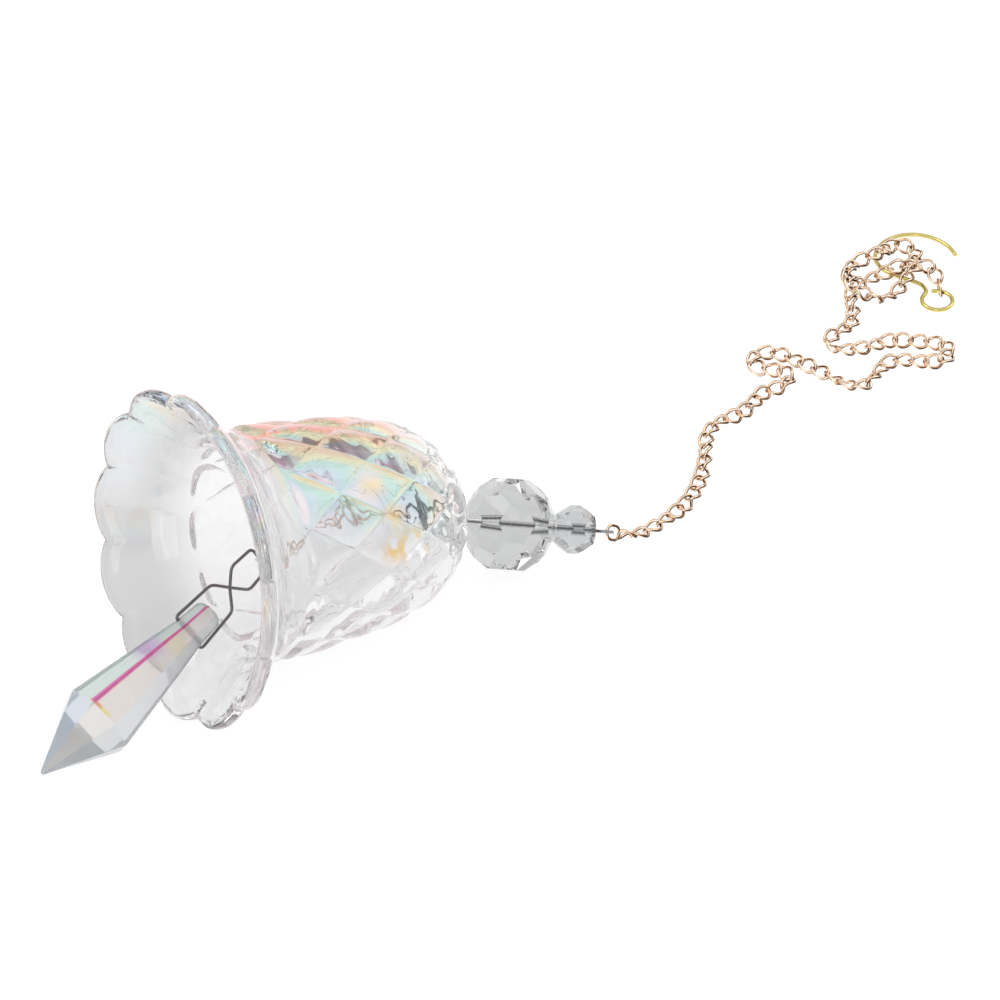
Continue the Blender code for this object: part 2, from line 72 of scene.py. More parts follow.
LOBE_OUTER_RUN = 12.0
LOBE_OUTER_POWER = 1.35
LOBE_INNER_END = 9.0

DIAMOND_LENGTH = 18.2
DIAMOND_PHASE = 9.4
DIAMOND_DEPTH = 1.15
DIAMOND_FIRST = 16.2
DIAMOND_FADE_IN = 2.2
DIAMOND_LAST = 56.4
DIAMOND_FADE_OUT = 3.0
GROOVE_SOFTNESS = 0.0016
GROOVE_FLOOR = 0.04

# rounded pads around the shoulder of the dome
PAD_AT = 57.6
PAD_RADIUS = 16.0
PAD_HALF_LENGTH = 4.6
PAD_HALF_WIDTH = 3.4
PAD_HEIGHT = 0.85
# the uneven inner face
RIPPLE_HEIGHT = 0.08
RIPPLE_FIRST = 13.0
RIPPLE_LAST = 60.0

WIRE_R = 0.35
INNER_LOOP_R = 1.9
OUTER_LOOP_R = 1.75
# the wire leans through the hole in the dome
HOLE_LEAN = Vector((-0.186, -0.711, -0.679))
HOLE_LEAN_REACH = 0.95
HOLE_INSIDE = 62.0
HOLE_OUTSIDE = 66.0
INNER_NECK = 1.2
OUTER_NECK = 0.95
OUTER_LOOP_GAP = 0.3
OUTER_LOOP_FACE = Vector((0.437, 0.547, 0.713)).normalized()
INNER_LOOP_TURN = (118.0, 432.0)
OUTER_LOOP_TURN = (72.0, -242.0)
LOOP_STEPS = 44

BEAD_AXIS = Vector((0.870, -0.460, -0.180)).normalized()
LARGE_BEAD = Vector((73.6, -6.9, 10.2))
LARGE_BEAD_R = 9.85
LARGE_BEAD_HALF = 9.2
SMALL_BEAD_R = 4.9
SMALL_BEAD_HALF = 4.15
BEAD_GAP = 0.6
BEAD_HOLE_R = 0.75
# rows of facets: lift in degrees, facets in the row, start in facets, distance as a part of the radius
LARGE_BEAD_ROWS = [(0.0, 8, 0.0, 0.965), (33.0, 8, 0.5, 0.965), (62.0, 8, 0.0, 0.968)]
SMALL_BEAD_ROWS = [(0.0, 8, 0.5, 0.965), (36.0, 8, 0.0, 0.965)]
LARGE_BEAD_EDGE = 0.07
SMALL_BEAD_EDGE = 0.05
BORE_SIDES = 24
SMALL_BEAD = LARGE_BEAD + BEAD_AXIS * (LARGE_BEAD_HALF + BEAD_GAP + SMALL_BEAD_HALF)

PRISM_TIP = Vector((-37.6, -12.0, 5.4))
PRISM_HOLE = Vector((1.0, -1.0, 13.0))
PRISM_ROLL = math.radians(-50.0)
# distance from the tip, distance of the flats from the axis
PRISM_STATIONS = [(0.0, 0.35), (15.4, 7.6), (36.0, 4.4), (41.0, 3.5), (46.9, 3.1), (47.9, 2.4)]
PRISM_SIDES = 8
PRISM_EDGE = 0.12
PRISM_HOLE_AT = 41.5
PRISM_HOLE_R = 0.8
PRISM_SHOULDER_AT = 26.1
PRISM_CLEARNESS = 0.62
PRISM_FACET_TURN = math.radians(-18.0)
PRISM_STRIPE = 229.5

CLIP_WIRE_R = 0.4
CLIP_SHOWN_R = 0.33
CLIP_DIRECTION = Vector((0.962, 0.274, -0.044)).normalized()
CLIP_HALF_WIDTH = 3.6
CLIP_SHOULDER = 10.9
CLIP_WAIST = 14.0
CLIP_LENGTH = 23.4
CLIP_PIN_TIP = 0.6
CLIP_CORNER_R = 1.1
CLIP_CROSSING_GAP = 0.15
CLIP_PIN_OUT = 0.7
CLIP_FAR_IN = 0.5
CLIP_BAR_IN = 0.9

LINK_LENGTH = 4.7
LINK_WIDTH = 3.7
LINK_R = 0.325
CLAPPER_LINKS = 11
LOOP_PLAY = 0.12
CURB_LENGTH = 5.0
CURB_WIDTH = 3.8
CURB_R = 0.36
CURB_TWIST = math.radians(45.0)
CURB_POWER = 0.85
# each curb link's roll in degrees: a mean, and two waves of height, step per link and start
ROLL_MEAN = 8.0
ROLL_SLOW = (26.0, 0.61, 0.8)
ROLL_FAST = (20.0, 1.93, 0.0)

CHAIN_LINKS = 80
CHAIN_ROUTE = [
    (96.2, -17.05, 3.7), (98.9, -17.1, 2.3), (102.9, -17.0, 1.9), (108.0, -16.3, 1.9), (113.0, -15.1, 1.9),
    (117.8, -12.3, 1.9), (122.1, -8.8, 1.9), (126.3, -4.0, 1.9), (129.7, 0.2, 1.9), (134.0, 2.3, 1.9),
    (138.7, 2.1, 1.9), (143.0, 2.7, 1.9), (146.8, 4.6, 1.9), (150.3, 4.7, 1.9), (153.6, 4.2, 1.9),
    (156.2, 6.4, 1.9), (155.5, 9.3, 1.9), (152.6, 11.3, 1.9), (152.0, 14.3, 1.9), (154.8, 16.0, 1.9),
    (158.4, 14.0, 1.9), (160.6, 10.0, 1.9), (162.4, 5.9, 1.9), (164.0, 1.3, 1.9), (165.8, -3.0, 1.9),
    (169.2, -5.0, 1.9), (173.7, -3.3, 1.9), (178.0, -1.9, 1.9), (181.8, -3.5, 1.9), (185.2, -6.4, 1.9),
    (188.8, -7.7, 1.9), (191.8, -6.3, 1.9), (191.4, -3.0, 1.9), (188.8, -0.7, 1.9), (185.8, 1.8, 1.9),
    (182.0, 4.0, 1.9), (177.4, 4.6, 1.9), (173.6, 6.2, 1.9), (170.6, 8.3, 1.9), (171.2, 11.4, 1.9),
    (174.6, 12.2, 1.9), (178.4, 13.0, 1.9), (181.2, 15.6, 1.9), (183.4, 19.2, 1.9), (186.1, 22.3, 1.9),
    (190.0, 23.4, 1.9), (194.0, 22.4, 2.8), (198.2, 21.6, 3.9), (202.4, 21.6, 2.6), (205.6, 23.8, 1.9),
    (206.6, 27.4, 1.9), (204.0, 30.0, 1.9), (200.4, 28.9, 3.0), (196.6, 28.0, 3.9), (192.8, 28.9, 2.9),
    (189.2, 27.6, 3.4), (186.4, 24.6, 4.9), (184.2, 21.4, 5.9), (184.6, 18.0, 5.6), (187.4, 16.4, 3.4),
    (191.2, 15.7, 2.2), (195.0, 16.4, 2.8), (198.4, 17.8, 3.9), (201.6, 18.8, 4.3), (204.2, 18.0, 3.9),
    (204.8, 15.6, 3.2),
]
FIRST_LINK_DIRECTION = Vector((0.788, 0.030, -0.614)).normalized()
LAST_LINK_DIRECTION = Vector((0.42, 0.88, 0.20)).normalized()

HOOK_WIRE_R = 0.5
RING_CENTRE = Vector((200.2, 9.0, 1.95))
RING_R = 3.5
RING_START = 68.0
RING_SWEEP = 318.0
RING_STEPS = 52
HOOK_ROUTE = [
    (200.3, 13.3), (200.8, 15.6), (199.7, 18.6), (198.2, 21.6), (197.2, 24.8), (197.6, 28.4),
    (199.6, 31.3), (202.8, 33.2), (206.4, 33.7), (209.8, 32.8), (212.6, 30.6), (214.4, 27.4),
    (215.0, 23.8), (214.4, 20.2),
]
HOOK_FALL = 0.058
LINK_ON_RING = math.radians(40.0)

VIEW_DIRECTION = Vector((0.383, 0.604, -0.698)).normalized()
VIEW_RIGHT = Vector((0.844, -0.536, 0.0)).normalized()
VIEW_UP = Vector((0.374, 0.590, 0.716)).normalized()
LINK_SHADE = (VIEW_RIGHT * 0.80 - VIEW_UP * 0.60).normalized()

# how far each tint of the bell runs: none at the first distance from the mouth's middle, full at the second
# painted shade on the back wall of the flared mouth
SHADE_BACK = (-8.0, 12.0)
SHADE_FLARE = (20.0, 8.0)
FILM_UPPER = (-2.0, 12.0)
FILM_RIM = (13.0, 8.0)
FILM_NM = (280.0, 400.0)
# painted reflection: where the coating's colours are painted along the top of the body
BANDS_UPPER = (1.0, 13.0)
BANDS_DOME = (60.0, 40.0)
BANDS_FLARE = (12.0, 19.0)
BANDS_NEAR = (-9.0, -2.0)
# painted reflection: where pearl colours of the coating are painted on the upper lip
LIP_RIM = (10.0, 5.0)
LIP_UPPER = (8.0, 20.0)

# the cosines that the ends of a ramp stand for
COATING_SPAN = (-0.05, 0.95)
GOLD_SPAN = (-0.25, 0.75)
PRISM_SPAN = (-0.8, 0.9)

# colours of the glass, and the ramps that run with the direction a face looks in
CLEAR = (0.86, 0.862, 0.868, 1.0)
# the colour of the painted shade on the back wall of the flare
BACK_WALL_SHADE = (0.62, 0.618, 0.62, 1.0)
# painted reflection: the coating's colours at each angle to the fixed view direction
BODY_REFLECTION_BANDS = [
    (0.0, (0.78, 0.30, 0.36, 1.0)), (0.34, (0.84, 0.36, 0.30, 1.0)), (0.50, (0.90, 0.60, 0.30, 1.0)),
    (0.62, (0.88, 0.85, 0.40, 1.0)), (0.72, (0.40, 0.78, 0.64, 1.0)), (0.84, (0.46, 0.70, 0.82, 1.0)),
    (0.93, (0.78, 0.78, 0.90, 1.0)), (1.0, CLEAR),
]
# painted reflection: pearl colours of the coating on the upper lip, by angle to the fixed view direction
LIP_PEARL_REFLECTION = [
    (0.0, (0.80, 0.62, 0.86, 1.0)), (0.25, (0.90, 0.60, 0.74, 1.0)), (0.42, (0.92, 0.82, 0.52, 1.0)),
    (0.58, (0.66, 0.88, 0.84, 1.0)), (0.78, (0.76, 0.84, 0.94, 1.0)), (1.0, CLEAR),
]
GOLD = [(0.0, (0.86, 0.46, 0.06, 1.0)), (0.6, (0.93, 0.64, 0.16, 1.0)), (1.0, CLEAR)]
# centre and size of each gold patch
GOLD_SPOTS = [
    ((39.0, -10.6, 44.0), 5.5), ((41.5, -20.3, 32.2), 5.5), ((38.0, -20.6, 33.2), 4.5),
    ((44.6, -19.4, 31.2), 4.5), ((40.8, -16.5, 38.1), 4.0), ((50.3, -5.5, 40.8), 4.5),
    ((3.0, -28.5, 44.0), 4.5),
]
# painted light and shade on the prism's body facets: grey on facets turned down, lighter pastel on facets
# turned up
PRISM_BODY_FACET_LIGHT = [
    (0.0, (0.62, 0.66, 0.68, 1.0)), (0.12, (0.66, 0.69, 0.71, 1.0)), (0.35, (0.83, 0.86, 0.88, 1.0)),
    (0.55, (0.91, 0.90, 0.89, 1.0)), (0.72, (0.94, 0.86, 0.81, 1.0)), (0.82, (0.86, 0.90, 0.87, 1.0)),
    (0.93, (0.76, 0.91, 0.86, 1.0)), (1.0, (0.76, 0.91, 0.86, 1.0)),
]
# the same painted light and shade on the facets of the point
PRISM_POINT_FACET_LIGHT = [
    (0.0, (0.60, 0.63, 0.65, 1.0)), (0.18, (0.77, 0.79, 0.80, 1.0)), (0.35, (0.91, 0.90, 0.88, 1.0)),
    (0.47, (0.96, 0.94, 0.90, 1.0)), (0.58, (0.88, 0.93, 0.97, 1.0)), (0.66, (0.80, 0.89, 0.99, 1.0)),
    (0.80, (0.82, 0.89, 0.99, 1.0)), (1.0, (0.84, 0.89, 0.98, 1.0)),
]
# degrees from the stripe, distance from the hole, distance from the axis, size, colour
PRISM_SPOTS = [
    (-20.0, 9.0, 5.4, 5.0, (0.70, 0.42, 0.84, 1.0)),
    (22.0, 4.5, 4.8, 4.0, (0.98, 0.88, 0.58, 1.0)),
]
# degrees from the stripe, half-width in degrees, colour, at the end of the stripe
STRIPE_END = [(16.0, 26.0, (0.95, 0.78, 0.20, 1.0)), (5.0, 14.0, (0.90, 0.28, 0.16, 1.0))]
STRIPE_WIDTH = 7.0
STRIPE_COLOUR = (0.78, 0.07, 0.34, 1.0)
# painted light and shade across each link's wire: cream highlight, brown-black shaded side
LINK_LIGHT_AND_SHADE = [
    (0.0, (0.18, 0.12, 0.08, 1.0)), (0.12, (0.60, 0.38, 0.22, 1.0)), (0.26, (0.92, 0.66, 0.46, 1.0)),
    (0.42, (1.0, 0.92, 0.82, 1.0)), (0.58, (1.0, 0.90, 0.78, 1.0)), (0.67, (0.66, 0.40, 0.22, 1.0)),
    (0.75, (0.14, 0.08, 0.05, 1.0)), (1.0, (0.05, 0.035, 0.03, 1.0)),
]
SKY = [
    (0.0, (0.50, 0.50, 0.505, 1.0)), (0.10, (0.34, 0.34, 0.345, 1.0)), (0.30, (0.55, 0.55, 0.555, 1.0)),
    (0.60, (0.78, 0.78, 0.78, 1.0)), (1.0, (0.84, 0.84, 0.84, 1.0)),
]

# the room, in metres
FLOOR_LOW = -1.6
FLOOR_HIGH = 1.8
FLOOR_Z = -0.0003
FLOOR_GREY = 0.33
FLOOR_GLOW = 0.84
CAMERA_AT = Vector((-0.2092, -0.4060, 0.4796))
CAMERA_LENS = 114.8
# name, place, point aimed at, width, height, power in watts
LIGHTS = [
    ("key", (-0.35, 0.55, 0.75), (0.02, 0.0, 0.02), 0.5, 0.5, 1.6),
    ("side", (0.75, -0.1, 0.5), (0.02, 0.0, 0.02), 0.35, 0.7, 0.9),
    ("front", (-0.5, -0.7, 0.35), (0.0, 0.0, 0.02), 0.25, 0.6, 0.7),
]
MAX_BOUNCES = 24
GLOSSY_BOUNCES = 16


# ---------------------------------------------------------------- geometry

def row(p):
    """From the part's own millimetres to the row frame in metres."""
    return (p + SHIFT) * MM


def add_mesh(name, mat, points, faces, smooth):
    """Points in millimetres in the part's own frame; the object sits at the row origin."""
    mesh = bpy.data.meshes.new(name)
    mesh.from_pydata([row(p) for p in points], [], faces)
    shell = bmesh.new()
    shell.from_mesh(mesh)
    bmesh.ops.recalc_face_normals(shell, faces=shell.faces)
    shell.to_mesh(mesh)
    shell.free()
    if smooth:
        mesh.shade_smooth()
    mesh.materials.append(mat)
    item = bpy.data.objects.new(name, mesh)
    bpy.context.collection.objects.link(item)
    return item


def grid_faces(rings, count, closed, first=0):
    faces = []
    for i in range(rings if closed else rings - 1):
        for j in range(count):
            a = first + i * count + j
            b = first + i * count + (j + 1) % count
            c = first + ((i + 1) % rings) * count + (j + 1) % count
            d = first + ((i + 1) % rings) * count + j
            faces.append((a, b, c, d))
    return faces


def tube(path, radius, sides, closed, first=0):
    """Points and faces of a round wire along a path; open ends are rounded over."""
    count = len(path)
    tangents = []
    for i in range(count):
        if closed:
            step = path[(i + 1) % count] - path[i - 1]
        else:
            step = path[min(i + 1, count - 1)] - path[max(i - 1, 0)]
        tangents.append(step.normalized())
    across = tangents[0].orthogonal().normalized()
    frames = []
    for tangent in tangents:
        across = (across - tangent * across.dot(tangent)).normalized()
        frames.append((across.copy(), tangent.cross(across)))
    twist = 0.0
    if closed:
        end = (frames[-1][0] - tangents[0] * frames[-1][0].dot(tangents[0])).normalized()
        twist = math.atan2(end.dot(frames[0][1]), end.dot(frames[0][0]))
    rings = [(path[i], frames[i], radius, -twist * i / count) for i in range(count)]
    if not closed:
        for at, end in ((0, -1.0), (count - 1, 1.0)):
            caps = []
            for k in (1, 2, 3):
                lean = math.radians(28.0 * k)
                centre = path[at] + tangents[at] * end * radius * 0.8 * math.sin(lean)
                caps.append((centre, frames[at], radius * math.cos(lean), 0.0))
            rings = caps[::-1] + rings if at == 0 else rings + caps
    points = []
    for centre, (u, v), r, turned in rings:
        for k in range(sides):
            turn = 2.0 * math.pi * k / sides + turned
            points.append(centre + (u * math.cos(turn) + v * math.sin(turn)) * r)
    faces = grid_faces(len(rings), sides, closed, first)
    if not closed:
        faces.append(tuple(range(first, first + sides)))
        faces.append(tuple(range(first + len(points) - sides, first + len(points))))
    return points, faces


def add_tube(name, mat, path, radius, sides, closed=False):
    points, faces = tube(path, radius, sides, closed)
    return add_mesh(name, mat, points, faces, True)


def smooth_route(points, steps):
    """Catmull-Rom curve through the points."""
    padded = [points[0] * 2 - points[1]] + points + [points[-1] * 2 - points[-2]]
    out = []
    for i in range(1, len(padded) - 2):
        p0, p1, p2, p3 = padded[i - 1:i + 3]
        for k in range(steps):
            t = k / steps
            a = p1 * 2 + (p2 - p0) * t
            b = (p0 * 2 - p1 * 5 + p2 * 4 - p3) * (t * t)
            c = (p1 * 3 - p0 - p2 * 3 + p3) * (t * t * t)
            out.append((a + b + c) * 0.5)
    out.append(points[-1])
    return out


def even_points(path, count):
    lengths = [0.0]
    for a, b in zip(path, path[1:]):
        lengths.append(lengths[-1] + (b - a).length)
    out = []
    seg = 0
    for i in range(count):
        want = lengths[-1] * i / (count - 1)
        while seg < len(path) - 2 and lengths[seg + 1] < want:
            seg += 1
        span = lengths[seg + 1] - lengths[seg]
        out.append(path[seg].lerp(path[seg + 1], (want - lengths[seg]) / span))
    return out


def rounded(points, radius, steps):
    out = [points[0]]
    for before, corner, after in zip(points, points[1:], points[2:]):
        a = (before - corner).normalized()
        b = (after - corner).normalized()
        reach = min(radius, 0.45 * (before - corner).length, 0.45 * (after - corner).length)
        for k in range(steps + 1):
            t = k / steps
            out.append(corner + a * reach * (1 - t) ** 2 + b * reach * t ** 2)
    out.append(points[-1])
    return out


def on_bell(s, radius, turn):
    return MOUTH + AXIS * s + (NEAR * math.sin(turn) - UP * math.cos(turn)) * radius


def ease(value):
    value = max(0.0, min(1.0, value))
    return value * value * (3.0 - 2.0 * value)


def lattice(s, turn):
    """Height of the pillow diamonds, 0 in the grooves and 1 on the crowns."""
    across = turn * LOBES / (2.0 * math.pi)
    along = (s - DIAMOND_PHASE) / DIAMOND_LENGTH
    a = abs(math.sin(math.pi * (across + along)))
    b = abs(math.sin(math.pi * (across - along)))
    soft_a = math.sqrt(a * a + GROOVE_SOFTNESS)
    soft_b = math.sqrt(b * b + GROOVE_SOFTNESS)
    return math.sqrt(soft_a * soft_b) - GROOVE_FLOOR


def thumbprint(s, turn):
    """One rounded pad per flute around the shoulder of the dome."""
    part = 2.0 * math.pi / LOBES
    off = (turn / part - 0.5) - round(turn / part - 0.5)
    x = off * part * PAD_RADIUS / PAD_HALF_WIDTH
    y = (s - PAD_AT) / PAD_HALF_LENGTH
    d = x * x + y * y
    return math.sqrt(max(0.0, 1.0 - d))


def ripple(s, turn):
    """The slightly uneven inner face that pressing leaves."""
    fade = ease((s - RIPPLE_FIRST) / 6.0) * ease((RIPPLE_LAST - s) / 5.0)
    wave = math.sin(1.35 * s + 3.0 * math.sin(3.0 * turn)) * math.sin(11.0 * turn + 0.55 * s)
    wave += 0.35 * math.sin(1.1 * s - 13.0 * turn)
    return RIPPLE_HEIGHT * fade * wave


def build_bell(coated, plain):
    """The scalloped, quilted shell: coated outside, plain inside."""
    outer_line = smooth_route([Vector((s, r, 0.0)) for s, r in OUTER], 10)
    inner_line = smooth_route([Vector((s, r, 0.0)) for s, r in INNER], 14)
    rings = [(p.x, p.y, True) for p in outer_line] + [(p.x, p.y, False) for p in inner_line]
    points = []
    for s, r, outside in rings:
        if outside:
            lobe = max(0.0, min(1.0, (LOBE_OUTER_END - s) / LOBE_OUTER_RUN)) ** LOBE_OUTER_POWER
            fade_out = ease((DIAMOND_LAST - s) / DIAMOND_FADE_OUT)
            quilt = ease((s - DIAMOND_FIRST) / DIAMOND_FADE_IN) * fade_out
        else:
            lobe = max(0.0, 1.0 - s / LOBE_INNER_END)
        for k in range(AROUND):
            turn = 2.0 * math.pi * k / AROUND
            wave = math.sqrt(math.sin(turn * LOBES / 2.0) ** 2 + LOBE_NOTCH) ** LOBE_POWER
            radius = r + LOBE_DEPTH * (wave - LOBE_MEAN) * lobe
            if outside:
                radius += DIAMOND_DEPTH * quilt * lattice(s, turn)
                radius += PAD_HEIGHT * thumbprint(s, turn)
            else:
                radius += ripple(s, turn)
            back = LOBE_SETBACK * (1.0 - wave) * lobe
            points.append(on_bell(s + back, radius, turn))
    faces = grid_faces(len(rings), AROUND, True)
    item = add_mesh("bell", coated, points, faces, True)
    item.data.materials.append(plain)
    for face in item.data.polygons[len(outer_line) * AROUND:]:
        face.material_index = 1
    return item


def planes_solid(planes):
    """Corners of the convex solid inside a list of (normal, distance) planes."""
    corners = []
    count = len(planes)
    for i in range(count):
        for j in range(i + 1, count):
            line = planes[i][0].cross(planes[j][0])
            if line.length < 1e-6:
                continue
            for k in range(j + 1, count):
                det = line.dot(planes[k][0])
                if abs(det) < 1e-6:
                    continue
                p = (planes[j][0].cross(planes[k][0]) * planes[i][1]
                     + planes[k][0].cross(planes[i][0]) * planes[j][1]
                     + line * planes[k][1]) / det
                if all(p.dot(n) <= d + 1e-5 for n, d in planes):
                    if all((p - q).length > 1e-3 for q in corners):
                        corners.append(p)
    return corners


def softened(shell, edge):
    """Points and faces of the shell with its edges bevelled. The shell is used up."""
    bmesh.ops.bevel(shell, geom=list(shell.edges), offset=edge, segments=2, profile=0.5,
                    affect="EDGES", clamp_overlap=True)
    shell.verts.index_update()
    points = [v.co.copy() for v in shell.verts]
    faces = [tuple(v.index for v in f.verts) for f in shell.faces]
    shell.free()
    return points, faces


def drill(item, mat, start, end, side, up, radius):
    """Bore a straight round hole through the item."""
    ring = []
    for centre in (start, end):
        for k in range(BORE_SIDES):
            turn = 2.0 * math.pi * k / BORE_SIDES
            ring.append(centre + (side * math.cos(turn) + up * math.sin(turn)) * radius)
    walls = grid_faces(2, BORE_SIDES, False)
    walls.append(tuple(range(BORE_SIDES)))
    walls.append(tuple(range(BORE_SIDES, 2 * BORE_SIDES)))
    cutter = add_mesh(item.name + "_bore", mat, ring, walls, False)
    cut = item.modifiers.new("bore", "BOOLEAN")
    cut.operation = "DIFFERENCE"
    cut.solver = "EXACT"
    cut.object = cutter
    bpy.context.view_layer.update()
    bored = item.evaluated_get(bpy.context.evaluated_depsgraph_get())
    mesh = bpy.data.meshes.new_from_object(bored)
    item.modifiers.clear()
    item.data = mesh
    bpy.data.objects.remove(cutter, do_unlink=True)


def build_bead(name, mat, centre, radius, half, rows, edge):
    """A drilled stone: rows of flats around the bead axis, and a flat at each pole."""
    planes = [(Vector((0, 0, 1)), half), (Vector((0, 0, -1)), half)]
    for lift, count, start, reach in rows:
        for k in range(count):
            turn = 2.0 * math.pi * (k + start) / count
            flat = math.cos(math.radians(lift))
            up = math.sin(math.radians(lift))
            planes.append((Vector((flat * math.cos(turn), flat * math.sin(turn), up)), radius * reach))
            if lift > 0:
                planes.append((Vector((flat * math.cos(turn), flat * math.sin(turn), -up)), radius * reach))
    z = BEAD_AXIS
    x = (Vector((0, 0, 1)) - z * z.z).normalized()
    turn_to = Matrix((x, z.cross(x), z)).transposed()
    shell = bmesh.new()
    for p in planes_solid(planes):
        shell.verts.new(centre + turn_to @ p)
    bmesh.ops.convex_hull(shell, input=shell.verts)
    bmesh.ops.dissolve_limit(shell, angle_limit=0.012, verts=shell.verts, edges=shell.edges)
    points, faces = softened(shell, edge)
    item = add_mesh(name, mat, points, faces, False)
    past = BEAD_AXIS * (half + 2.0)
    side = BEAD_AXIS.orthogonal().normalized()
    drill(item, mat, centre - past, centre + past, side, BEAD_AXIS.cross(side), BEAD_HOLE_R)
    return item


def prism_axes():
    """Unit directions of the prism: tip to hole, along the pins, and square to both."""
    along = (PRISM_HOLE - PRISM_TIP).normalized()
    level = along.cross(Vector((0, 0, 1))).normalized()
    rise = level.cross(along)
    pin = level * math.cos(PRISM_ROLL) + rise * math.sin(PRISM_ROLL)
    return along, pin, along.cross(pin)


def build_prism(mat):
    """The eight-sided drop with its cross hole."""
    along, pin, third = prism_axes()
    tip = PRISM_HOLE - along * PRISM_HOLE_AT
    shell = bmesh.new()
    corners = []
    for at, flat in PRISM_STATIONS:
        corner = flat / math.cos(math.pi / PRISM_SIDES)
        for k in range(PRISM_SIDES):
            turn = 2.0 * math.pi * (k + 0.5) / PRISM_SIDES + PRISM_FACET_TURN
            out = (pin * math.cos(turn) + third * math.sin(turn)) * corner
            corners.append(shell.verts.new(tip + along * at + out))
    for face in grid_faces(len(PRISM_STATIONS), PRISM_SIDES, False):
        shell.faces.new([corners[i] for i in face])
    shell.faces.new(corners[:PRISM_SIDES])
    shell.faces.new(corners[-PRISM_SIDES:])
    bmesh.ops.recalc_face_normals(shell, faces=shell.faces)
    points, faces = softened(shell, PRISM_EDGE)
    item = add_mesh("prism", mat, points, faces, False)
    past = pin * 8.0
    drill(item, mat, PRISM_HOLE - past, PRISM_HOLE + past, along, third, PRISM_HOLE_R)
    return item


def build_clip(mat):
    """The bent wire clip, its bar that hangs on the last inner link, and the pin direction."""
    pin = prism_axes()[1]
    run = (CLIP_DIRECTION - pin * CLIP_DIRECTION.dot(pin)).normalized()
    face = run.cross(pin)
    half = CLIP_HALF_WIDTH
    step = CLIP_WIRE_R + CLIP_CROSSING_GAP

    def at(side, forward, lift):
        return PRISM_HOLE + pin * side + run * forward + face * lift

    far = 2 * CLIP_WAIST - CLIP_SHOULDER
    corners = [
        at(CLIP_PIN_TIP, 0.0, 0.0), at(half + CLIP_PIN_OUT, 0.0, 0.0), at(half, CLIP_SHOULDER, 0.0),
        at(0.0, CLIP_WAIST, step), at(-half + CLIP_FAR_IN, far, 0.0),
        at(-half + CLIP_BAR_IN, CLIP_LENGTH, 0.0), at(half - CLIP_BAR_IN, CLIP_LENGTH, 0.0),
        at(half - CLIP_FAR_IN, far, 0.0), at(0.0, CLIP_WAIST, -step),
        at(-half, CLIP_SHOULDER, 0.0), at(-half - CLIP_PIN_OUT, 0.0, 0.0), at(-CLIP_PIN_TIP, 0.0, 0.0),
    ]
    item = add_tube("clip", mat, rounded(corners, CLIP_CORNER_R, 8), CLIP_SHOWN_R, 20)
    return item, at(0.0, CLIP_LENGTH, 0.0), pin


def flat_link(centre, along, across, steps):
    """Centre line of a plain oval link."""
    across = (across - along * across.dot(along)).normalized()
    bend = LINK_WIDTH / 2 - LINK_R
    straight = (LINK_LENGTH - LINK_WIDTH) / 2
    path = []
    for end in (1, -1):
        for k in range(steps):
            turn = math.pi * (k + 0.5) / steps - math.pi / 2
            path.append(centre + along * end * (straight + bend * math.cos(turn))
                        + across * end * bend * math.sin(turn))
    return path


def curb_link(centre, along, normal, steps):
    """An oval link whose two ends are turned against each other, as in a curb chain."""
    normal = (normal - along * normal.dot(along)).normalized()
    across = normal.cross(along)
    half_long = CURB_LENGTH / 2 - CURB_R
    half_wide = CURB_WIDTH / 2 - CURB_R
    path = []
    for k in range(steps):
        turn = 2.0 * math.pi * k / steps
        x = half_long * math.cos(turn)
        y = half_wide * math.copysign(abs(math.sin(turn)) ** CURB_POWER, math.sin(turn))
        lean = CURB_TWIST * x / half_long
        path.append(centre + along * x + (across * math.cos(lean) + normal * math.sin(lean)) * y)
    return path


def build_clapper_chain(mat, top, top_r, bottom, bottom_r, first_across, last_across):
    """Links turned a quarter each, with the rest of the twist shared among them."""
    along = (bottom - top).normalized()
    half = LINK_LENGTH / 2 - LINK_R
    first = top + along * (half - top_r - LINK_R - LOOP_PLAY)
    last = bottom - along * (half - bottom_r - LINK_R - LOOP_PLAY)
    base = (first_across - along * first_across.dot(along)).normalized()
    side = along.cross(base)
    want = (last_across - along * last_across.dot(along)).normalized()
    total = math.atan2(want.dot(side), want.dot(base))
    steps = CLAPPER_LINKS - 1
    extra = (total - steps * math.pi / 2) % math.pi
    if extra > math.pi / 2:
        extra -= math.pi
    made = []
    for i in range(CLAPPER_LINKS):
        turn = i * (math.pi / 2 + extra / steps)
        across = base * math.cos(turn) + side * math.sin(turn)
        path = flat_link(first.lerp(last, i / steps), along, across, 14)
        made.append(add_tube("inner_link_%02d" % (i + 1), mat, path, LINK_R, 12, True))
    return made


def wire_loop(centre, shank, side, radius, start_deg, end_deg):
    out = []
    for k in range(LOOP_STEPS + 1):
        turn = math.radians(start_deg + (end_deg - start_deg) * k / LOOP_STEPS)
        out.append(centre + side * radius * math.cos(turn) + shank * radius * math.sin(turn))
    return out


